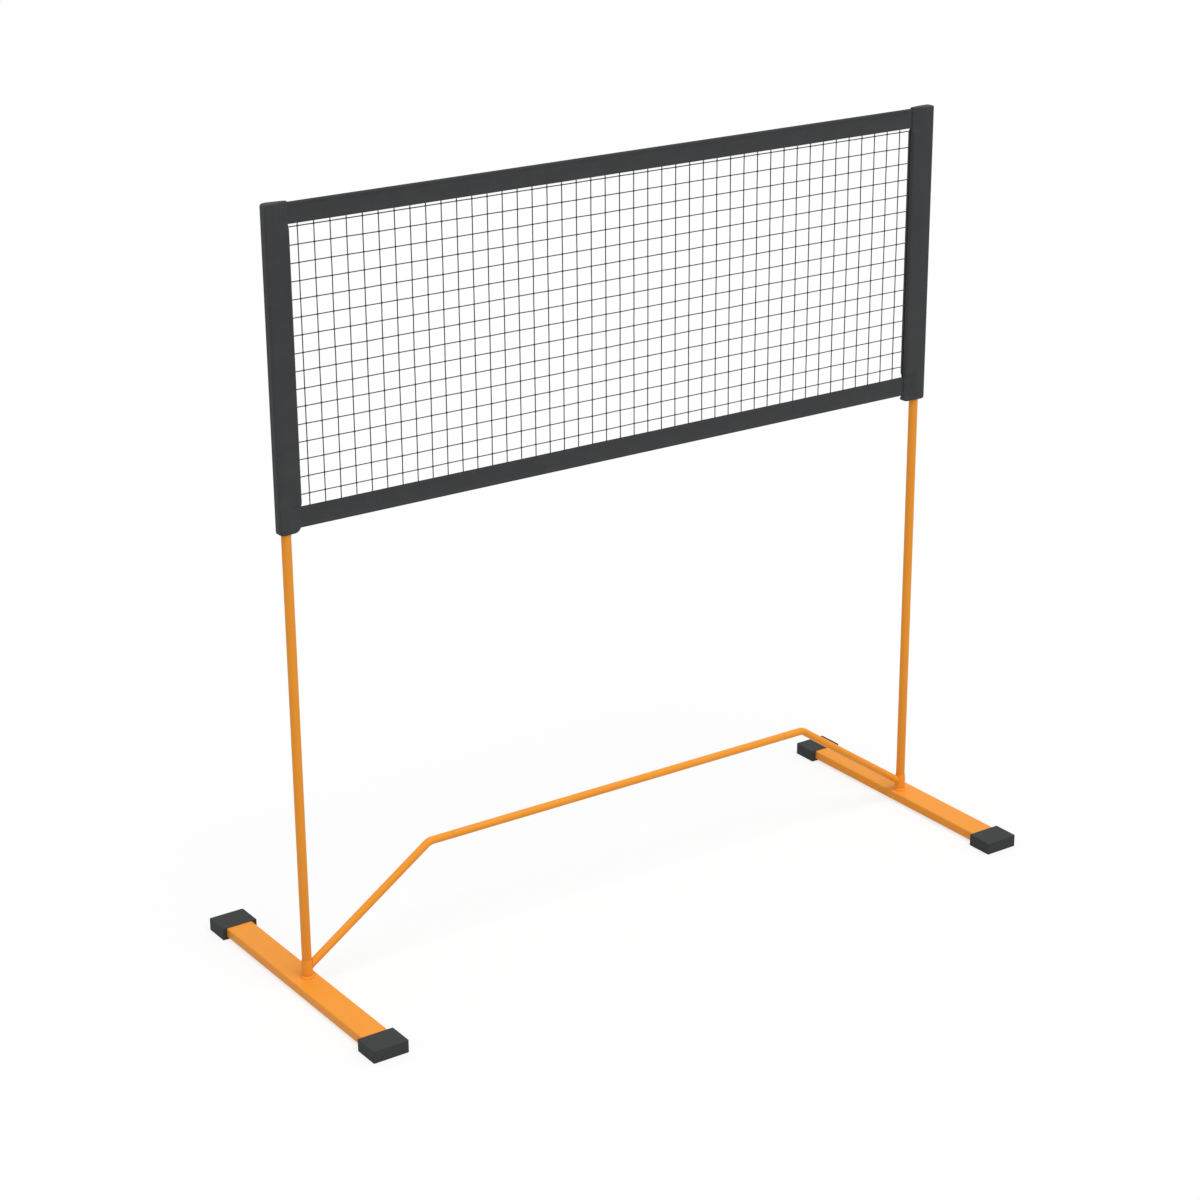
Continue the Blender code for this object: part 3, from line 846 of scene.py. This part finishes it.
def stitchRow(start, end, values):
    # long grains of thread, laid flat from start to end
    start, end = Vector(start), Vector(end)
    gaps = round((end - start).length / values["pitch"])
    step = (end - start) / gaps
    turn = Vector((0, 0, 1)).rotation_difference(step).to_matrix().to_4x4()
    size = Matrix.Diagonal((values["radius"], values["radius"], values["length"] / 2, 1))
    grain = bmesh.new()
    bmesh.ops.create_uvsphere(
        grain,
        u_segments=values["round"],
        v_segments=values["rings"],
        radius=1,
        matrix=Matrix.Translation(start) @ turn @ size,
    )
    return repeated("stitch row", grain, (gaps + 1, step))


def sewOn(bm, row, clothAt):
    # lifts a flat row onto the cloth, front and rear
    for out in (-1, 1):
        laid = row.copy()
        for vertex in laid.vertices:
            vertex.co.y += clothAt(vertex.co.x, vertex.co.z, out) + out * stitch["lift"]
        bm.from_mesh(laid)


def placeStitches(name, bm):
    cloth = ("net_carriage", "dark_cloth")
    angle = stitch["smoothAngle"]
    return place(f"stitches_{name}", bm, *cloth, material=stitchThread, smoothAngle=angle)


def stitchBand(name, low, high, up, seed, values):
    height = high.z - low.z
    fold = high.z if up > 0 else low.z
    reach = postX - sleeve["inboard"] - values["seamEndGap"]

    def clothAt(x, z, out):
        depth = up * (fold - z)
        half = bandHalf(depth, height, values) + bandPucker(x, depth, seed, values)
        return out * half + bandShift(x, depth, height, seed, values)

    bm = bmesh.new()
    for depth in (values["pinchDepth"], height - values["seamInset"]):
        z = fold - up * depth
        sewOn(bm, stitchRow((-reach, 0, z), (reach, 0, z), stitch), clothAt)
    return placeStitches(name, bm)


def stitchSleeve(name, side, values):
    # a seam down the inner edge and a hem round the foot
    seeds = clothSeeds(side)
    ends = (-values["outboard"], values["inboard"])

    def clothAt(x, z, out):
        away = postX - side * x
        half = pocketHalf(away, z, 0, values)
        return out * (half + half / values["half"] * drape(away, z, ends, seeds[out > 0], values))

    def across(away):
        return side * (postX - away)

    seam = across(values["inboard"] - values["seamInset"])
    seamFoot = values["foot"] + values["footInner"]
    seamTop = values["top"] - values["seamTopGap"]
    hem = values["foot"] + values["hemRise"]
    hemOuter = across(values["hemOuterGap"] - values["outboard"])
    hemInner = across(values["inboard"] - values["hemInnerGap"])
    bm = bmesh.new()
    sewOn(bm, stitchRow((seam, 0, seamFoot), (seam, 0, seamTop), stitch), clothAt)
    sewOn(bm, stitchRow((hemOuter, 0, hem), (hemInner, 0, hem), stitch), clothAt)
    return placeStitches(f"sleeve_{name}", bm)


for name, plan in bandPlans.items():
    seams = stitchBand(name, *plan, band)
for name, side in sides.items():
    seams = stitchSleeve(name, side, sleeves[name])
print("bands and sleeves stitched")


# Net: knotted twine in square meshes, sewn into the bands and the sleeves

net = {
    "columns": 43,
    "rows": 16,
    "firstColumn": -699.6 * mm,
    "lastColumn": 690.8 * mm,
    "firstRow": 1005.3 * mm,
    "lastRow": 1502.5 * mm,
    "radius": 1.08 * mm,
    "sides": 8,
    "smoothAngle": 70,
    "hemIn": 1 * mm,  # where the twine ends, in from the edge of the net
    "drift": 0.45 * mm,
    "driftNoise": 41,
    "driftLevel": 3.0,
    "driftSeed": 3,  # without a seed the vector noise differs from run to run
    "edgeDrift": 0.4,  # share of the drift that is left at the edge
    "slack": 0.9 * mm,
    "slackNoise": (3.1, 4.3),  # along the net and up it
    "slackLevel": 8.0,
    "calmEdge": 60 * mm,  # how far in from its edge the net is held flat
    "knotRing": 1.5 * mm,
    "knotThread": 0.78 * mm,
    "knotTilt": 38.0,
    "knotSteps": 8,
    "knotSides": 5,
}


def netPoint(x, z, values):
    # where the twine that is laid out at x and z really hangs
    cells = values["driftNoise"]
    wander = noise.noise_vector(Vector((x * cells, values["driftLevel"], z * cells)))
    along, up = values["slackNoise"]
    billow = noise.noise(Vector((x * along, values["slackLevel"], z * up)))
    edge = min(x - netLow.x, netHigh.x - x, z - netLow.z, netHigh.z - z)
    calm = eased(edge, 0, values["calmEdge"])
    slack = values["slack"] * calm
    drift = values["drift"] * (values["edgeDrift"] + (1 - values["edgeDrift"]) * calm)
    return Vector((x + drift * wander.x, slack * billow, z + drift * wander.z))


def knotForm(centre, values):
    # two thread loops that lean against each other round the crossing
    bm = bmesh.new()
    upright = Matrix.Rotation(math.radians(90), 4, "X")
    for tilt in (values["knotTilt"], -values["knotTilt"]):
        loop = bmesh.new()
        bmesh.ops.create_circle(
            loop,
            segments=values["knotSides"],
            radius=values["knotThread"],
            matrix=Matrix.Translation((values["knotRing"], 0, 0)) @ upright,
        )
        turned(loop, values["knotSteps"])
        lean = Matrix.Rotation(math.radians(tilt), 4, "Y")
        bmesh.ops.transform(loop, matrix=Matrix.Translation(centre) @ lean, verts=loop.verts)
        joined(bm, loop)
    return bm


def makeNet(values):
    noise.seed_set(values["driftSeed"])
    pitchX = (values["lastColumn"] - values["firstColumn"]) / (values["columns"] - 1)
    pitchZ = (values["lastRow"] - values["firstRow"]) / (values["rows"] - 1)
    columns = [values["firstColumn"] + pitchX * i for i in range(values["columns"])]
    rows = [values["firstRow"] + pitchZ * i for i in range(values["rows"])]
    radius, count, end = values["radius"], values["sides"], values["hemIn"]
    heights = [netLow.z + end, *rows, netHigh.z - end]
    places = [netLow.x + end, *columns, netHigh.x - end]
    bm = bmesh.new()
    for x in columns:
        skin([ringAt(netPoint(x, z, values), (0, 0, 1), radius, count) for z in heights], bm)
    for z in rows:
        skin([ringAt(netPoint(x, z, values), (1, 0, 0), radius, count) for x in places], bm)
    first = (columns[0], 0, rows[0])
    runs = ((len(columns), (pitchX, 0, 0)), (len(rows), (0, 0, pitchZ)))
    knots = repeated("knots", knotForm(first, values), *runs)
    for vertex in knots.vertices:
        x = columns[round((vertex.co.x - columns[0]) / pitchX)]
        z = rows[round((vertex.co.z - rows[0]) / pitchZ)]
        vertex.co += netPoint(x, z, values) - Vector((x, 0, z))
    bm.from_mesh(knots)
    bmesh.ops.recalc_face_normals(bm, faces=bm.faces)
    angle = values["smoothAngle"]
    place("knotted_net", bm, "net_carriage", "net_cord", ["net_mesh"], smoothAngle=angle)


makeNet(net)
print("net knotted")


# Steel: posts, sockets, crossbar and floor bars in one orange powder coat

steel = {
    "sides": 64,
    "rim": 0.35 * mm,
    "rimSteps": 2,
    "clear": 0.3 * mm,
    "postWall": 1.2 * mm,
    "holes": 7,
    "holePitch": 80 * mm,
    "holeRadius": 3.3 * mm,
    "holeSides": 32,
    "holeMargin": 7 * mm,  # between a hole and the level loops above and below it
    "drillReach": 3 * postRadius,
    "near": 0.01 * mm,  # counts as in the same plane
}


def weighted(piece):
    # flat faces keep a flat shade beside rounded edges
    normals = piece.modifiers.new("weighted normals", "WEIGHTED_NORMAL")
    normals.keep_sharp = True


def makeTube(start, end, outer, wall, values):
    # a round tube from end to end, its rims softened
    bm = rod(start, end, outer, values["sides"])
    rims = [e for f in bm.faces if len(f.verts) > 4 for e in f.edges]
    softened(bm, rims, values["rim"], values["rimSteps"])
    hollowed(bm, wall - values["rim"])
    return bm


def makeLowerPost(name, side, values):
    # the row of holes for the spring button is on the rear of the post
    buttonLow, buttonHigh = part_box(f"snap_button_{name}")
    top = (buttonLow.z + buttonHigh.z) / 2
    holes = [top - i * values["holePitch"] for i in range(values["holes"])]
    ends = [(side * postX, 0, z) for z in (postLow.z, postHigh.z)]
    bm = makeTube(*ends, postRadius, values["postWall"], values)
    for z in holes:
        for level in (z - values["holeMargin"], z + values["holeMargin"]):
            parts = [*bm.verts, *bm.edges, *bm.faces]
            bmesh.ops.bisect_plane(bm, geom=parts, plane_co=(0, 0, level), plane_no=(0, 0, 1))
    drills = [
        rod(
            (side * postX, 0, z),
            (side * postX, values["drillReach"], z),
            values["holeRadius"],
            values["holeSides"],
        )
        for z in holes
    ]
    mesh = carved(f"post {name}", bm, drills)
    placeMesh(f"post_tube_{name}", mesh, "base", "orange_powder_coat", [f"lower_post_{name}"])


for name, side in sides.items():
    makeLowerPost(name, side, steel)


crossbar = {
    "radius": (runHigh.z - runLow.z) / 2,
    "wall": 1.5 * mm,
    "height": (runHigh.z + runLow.z) / 2,
    "footHeight": 42 * mm,
    "cornerX": 469 * mm,  # where the slope of a leg would meet the level run
    "bendRadius": 25 * mm,
    "bendSteps": 14,
    "spigotReach": 30 * mm,
    "spigotWall": 1.05 * mm,
    "copeReach": 60 * mm,  # up and down from the foot of a leg
    "copeSides": 96,
}

socket = {
    "radius": postRadius + 1.5 * mm,
    "bore": postRadius + 0.08 * mm,  # the powder coat closes the rest of the gap
    "height": 38 * mm,
    "rim": 0.25 * mm,
    "taper": 9 * mm,  # of the outside, up to the rim
    "bead": 3.0 * mm,
    "beadTop": 3.9 * mm,
    "beadSteps": 7,
    "beadSwell": 0.4 * mm,
    "ripple": 0.2 * mm,
    "ripples": 22,
    "rippleLag": 2.2,  # radians, at the top of the arch
    "turnSteps": 132,
}


def legSlope(values):
    return math.atan2(values["height"] - values["footHeight"], postX - values["cornerX"])


def legHeading(side, slope):
    return Vector((-side * math.cos(slope), 0, math.sin(slope)))


def weldBead(bm, values):
    # ripples the slope at the socket's foot into a bead
    for vertex in bm.verts:
        share = vertex.co.z / values["beadTop"]
        out = vertex.co.xy.to_3d()
        if share < 1 and out.length > values["radius"]:
            arch = math.sin(math.pi * share)
            lag = values["rippleLag"] * arch
            wave = math.cos(values["ripples"] * math.atan2(out.y, out.x) + lag)
            swell = arch * (values["beadSwell"] + values["ripple"] * wave)
            vertex.co += (out.normalized() + Vector((0, 0, 1))) * swell


def makeSocket(name, side, values):
    # a turned sleeve for the foot of the post, with the spigot that carries the crossbar's leg
    top, rim, radius, bore = (values[key] for key in ("height", "rim", "radius", "bore"))
    slopeSteps = [i / values["beadSteps"] for i in range(values["beadSteps"] + 1)]
    outline = [(radius + values["bead"] * (1 - s), values["beadTop"] * s) for s in slopeSteps]
    outline += [(radius, top - values["taper"]), (bore + rim, top)]
    outline += [(bore, top - rim), (bore, 0)]
    bm = bmesh.new()
    corners = [bm.verts.new((r, 0, z)) for r, z in outline]
    for pair in zip(corners, corners[1:] + corners[:1]):
        bm.edges.new(pair)
    turned(bm, values["turnSteps"])
    weldBead(bm, values)
    bmesh.ops.recalc_face_normals(bm, faces=bm.faces)
    bmesh.ops.translate(bm, verts=bm.verts, vec=(side * postX, 0, socketLow.z))
    heading = legHeading(side, legSlope(crossbar))
    foot = Vector((side * postX, 0, crossbar["footHeight"]))
    start = foot + heading * ((bore + rim) / abs(heading.x))
    end = foot + heading * (radius / abs(heading.x) + crossbar["spigotReach"])
    outer = crossbar["radius"] - crossbar["wall"] - steel["clear"]
    joined(bm, makeTube(start, end, outer, crossbar["spigotWall"], steel))
    place(f"welded_socket_{name}", bm, "base", "orange_powder_coat", [f"post_socket_{name}"])


def makeLeg(name, side, values):
    # drawn out from its joint with the run, round the bend and down to the post, where it is coped
    slope = legSlope(values)
    corner = values["cornerX"] - values["bendRadius"] * math.tan(slope / 2)
    height, radius = values["height"], values["radius"]
    joint = Vector((side * legLow.x, 0, height))
    bm = bmesh.new()
    bmesh.ops.create_circle(
        bm,
        segments=steel["sides"],
        radius=radius,
        matrix=Matrix.Translation(joint) @ Matrix.Rotation(math.radians(90), 4, "Y"),
    )
    bend = lengthened(bm, bm.edges[:], (side * (corner - legLow.x), 0, 0))
    made = bmesh.ops.spin(
        bm,
        geom=bend,
        cent=(side * corner, 0, height - values["bendRadius"]),
        axis=(0, side, 0),
        angle=slope,
        steps=values["bendSteps"],
    )
    down = [part for part in made["geom_last"] if isinstance(part, bmesh.types.BMEdge)]
    bendEnd = corner + values["bendRadius"] * math.sin(slope)
    rest = (postX - bendEnd) / math.cos(slope)
    lengthened(bm, down, -legHeading(side, slope) * rest)
    bmesh.ops.recalc_face_normals(bm, faces=bm.faces)
    bmesh.ops.solidify(bm, geom=bm.faces[:], thickness=values["wall"])
    atJoint = [v for v in bm.verts if abs(v.co.x - joint.x) < steel["near"]]
    outside = {v for v in atJoint if (v.co - joint).length > radius - values["wall"] / 2}
    rim = [e for e in bm.edges if outside.issuperset(e.verts)]
    softened(bm, rim, steel["rim"], steel["rimSteps"])
    reach = Vector((0, 0, values["copeReach"]))
    foot = Vector((side * postX, 0, values["footHeight"]))
    coped = socket["radius"] + steel["clear"]
    cope = rod(foot - reach, foot + reach, coped, values["copeSides"])
    mesh = carved(f"leg {name}", bm, [cope])
    placeMesh(f"bent_leg_{name}", mesh, "base", "orange_powder_coat", [f"crossbar_leg_{name}"])


def makeRun(values):
    ends = [(x, 0, values["height"]) for x in (runLow.x, runHigh.x)]
    run = makeTube(*ends, values["radius"], values["wall"], steel)
    place("crossbar_run", run, "base", "orange_powder_coat", ["crossbar_tube"])


for name, side in sides.items():
    makeSocket(name, side, socket)
    makeLeg(name, side, crossbar)
makeRun(crossbar)


floorBar = {
    "wall": 1.5 * mm,
    "corner": 3.0 * mm,
    "cornerSteps": 8,
}


def longEdges(bm, length):
    # those that run along the floor bars
    return [e for e in bm.edges if abs(e.verts[0].co.y - e.verts[1].co.y) > length]


def makeFloorBar(name, values):
    low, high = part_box(f"base_bar_{name}")
    bm = box(low, high)
    softened(bm, longEdges(bm, high.x - low.x), values["corner"], values["cornerSteps"])
    hollowed(bm, values["wall"])
    weighted(place(f"floor_bar_{name}", bm, "base", "orange_powder_coat", [f"base_bar_{name}"]))


for name in sides:
    makeFloorBar(name, floorBar)
print("steel welded")


# Rubber end caps, boots over the ends of the floor bars

cap = {
    "corner": 3.0 * mm,
    "cornerSteps": 8,
    "edge": 1.2 * mm,
    "edgeSteps": 5,
    "endWall": 6.0 * mm,
    "floor": 3.9 * mm,
    "clear": 0.3 * mm,
    "mouthReach": 5 * mm,
}


def makeCap(name, values):
    low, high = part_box(f"end_cap_{name}")
    rear = 1 if low.y > 0 else -1
    mouthY, endY = (low.y, high.y) if rear > 0 else (high.y, low.y)
    clear = values["clear"]
    bm = box(low, high)
    upright = [
        e
        for e in bm.edges
        if abs(e.verts[0].co.z - e.verts[1].co.z) > values["corner"]
        and abs(e.verts[0].co.y - endY) < clear
    ]
    softened(bm, upright, values["corner"], values["cornerSteps"])
    rims = [
        e
        for e in bm.edges
        if abs(e.verts[0].co.z - e.verts[1].co.z) < clear
        and max(abs(v.co.y - mouthY) for v in e.verts) > clear
    ]
    softened(bm, rims, values["edge"], values["edgeSteps"])
    inside, outside = endY - rear * values["endWall"], mouthY - rear * values["mouthReach"]
    shift = (low.x + high.x) / 2 - (barLow.x + barHigh.x) / 2
    pocket = box(
        (barLow.x - clear + shift, min(inside, outside), low.z + values["floor"]),
        (barHigh.x + clear + shift, max(inside, outside), barHigh.z + clear),
    )
    softened(pocket, longEdges(pocket, values["corner"]), floorBar["corner"], values["cornerSteps"])
    mesh = carved(f"cap {name}", bm, [pocket])
    node = f"end_cap_{name}"
    weighted(placeMesh(f"rubber_cap_{name}", mesh, "base", "dark_rubber", [node]))


for end in ("front", "rear"):
    for name in sides:
        makeCap(f"{end}_{name}", cap)
print("caps moulded")


# What works inside the posts and the bands: smooth copies of the small pieces

small = {
    "mergeReach": 0.002 * mm,
    "smoothAngle": 40,
    "cordSides": 16,
}


def smoothCopy(node, body):
    # the CAD node's own shape, merged, so that its round faces shade as one
    bm = bmesh.new()
    bm.from_mesh(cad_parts[node].data)
    bmesh.ops.remove_doubles(bm, verts=bm.verts, dist=small["mergeReach"])
    bmesh.ops.recalc_face_normals(bm, faces=bm.faces)
    name = f"{node}_smooth"
    mesh = newMesh(name, bm)
    normals = mesh.attributes.get("custom_normal")
    if normals:
        mesh.attributes.remove(normals)
    angle = small["smoothAngle"]
    return placeMesh(name, mesh, body, slotNames[node], [node], smoothAngle=angle)


slotNames = {name: node.data.materials[0].name for name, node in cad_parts.items()}
for side in sides:
    for node in ("guide_bush", "crossbar_joiner"):
        smoothCopy(f"{node}_{side}", "base")
    for node in ("upper_post", "post_top_plug", "slide_plug"):
        smoothCopy(f"{node}_{side}", "net_carriage")
    smoothCopy(f"snap_button_{side}", f"snap_button_{side}")


def makeSpring(side):
    # the leaf spring under its button, as a smooth copy of the CAD node with a mesh of its own
    spring = smoothCopy(f"snap_spring_{side}", "net_carriage")
    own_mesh(spring)


for side in sides:
    makeSpring(side)


def makeTensionCord(node):
    low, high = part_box(node)
    radius = (high.y - low.y) / 2
    height = (low.z + high.z) / 2
    steps = small["cordSides"]
    rings = [ringAt((x, 0, height), (1, 0, 0), radius, steps) for x in (low.x, high.x)]
    place(f"{node}_smooth", skin(rings), "net_carriage", "net_cord", [node])


for node in ("top_cord", "bottom_cord"):
    makeTensionCord(node)
print("small pieces copied")


for name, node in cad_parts.items():
    node.data.materials[0] = finishes[slotNames[name]]
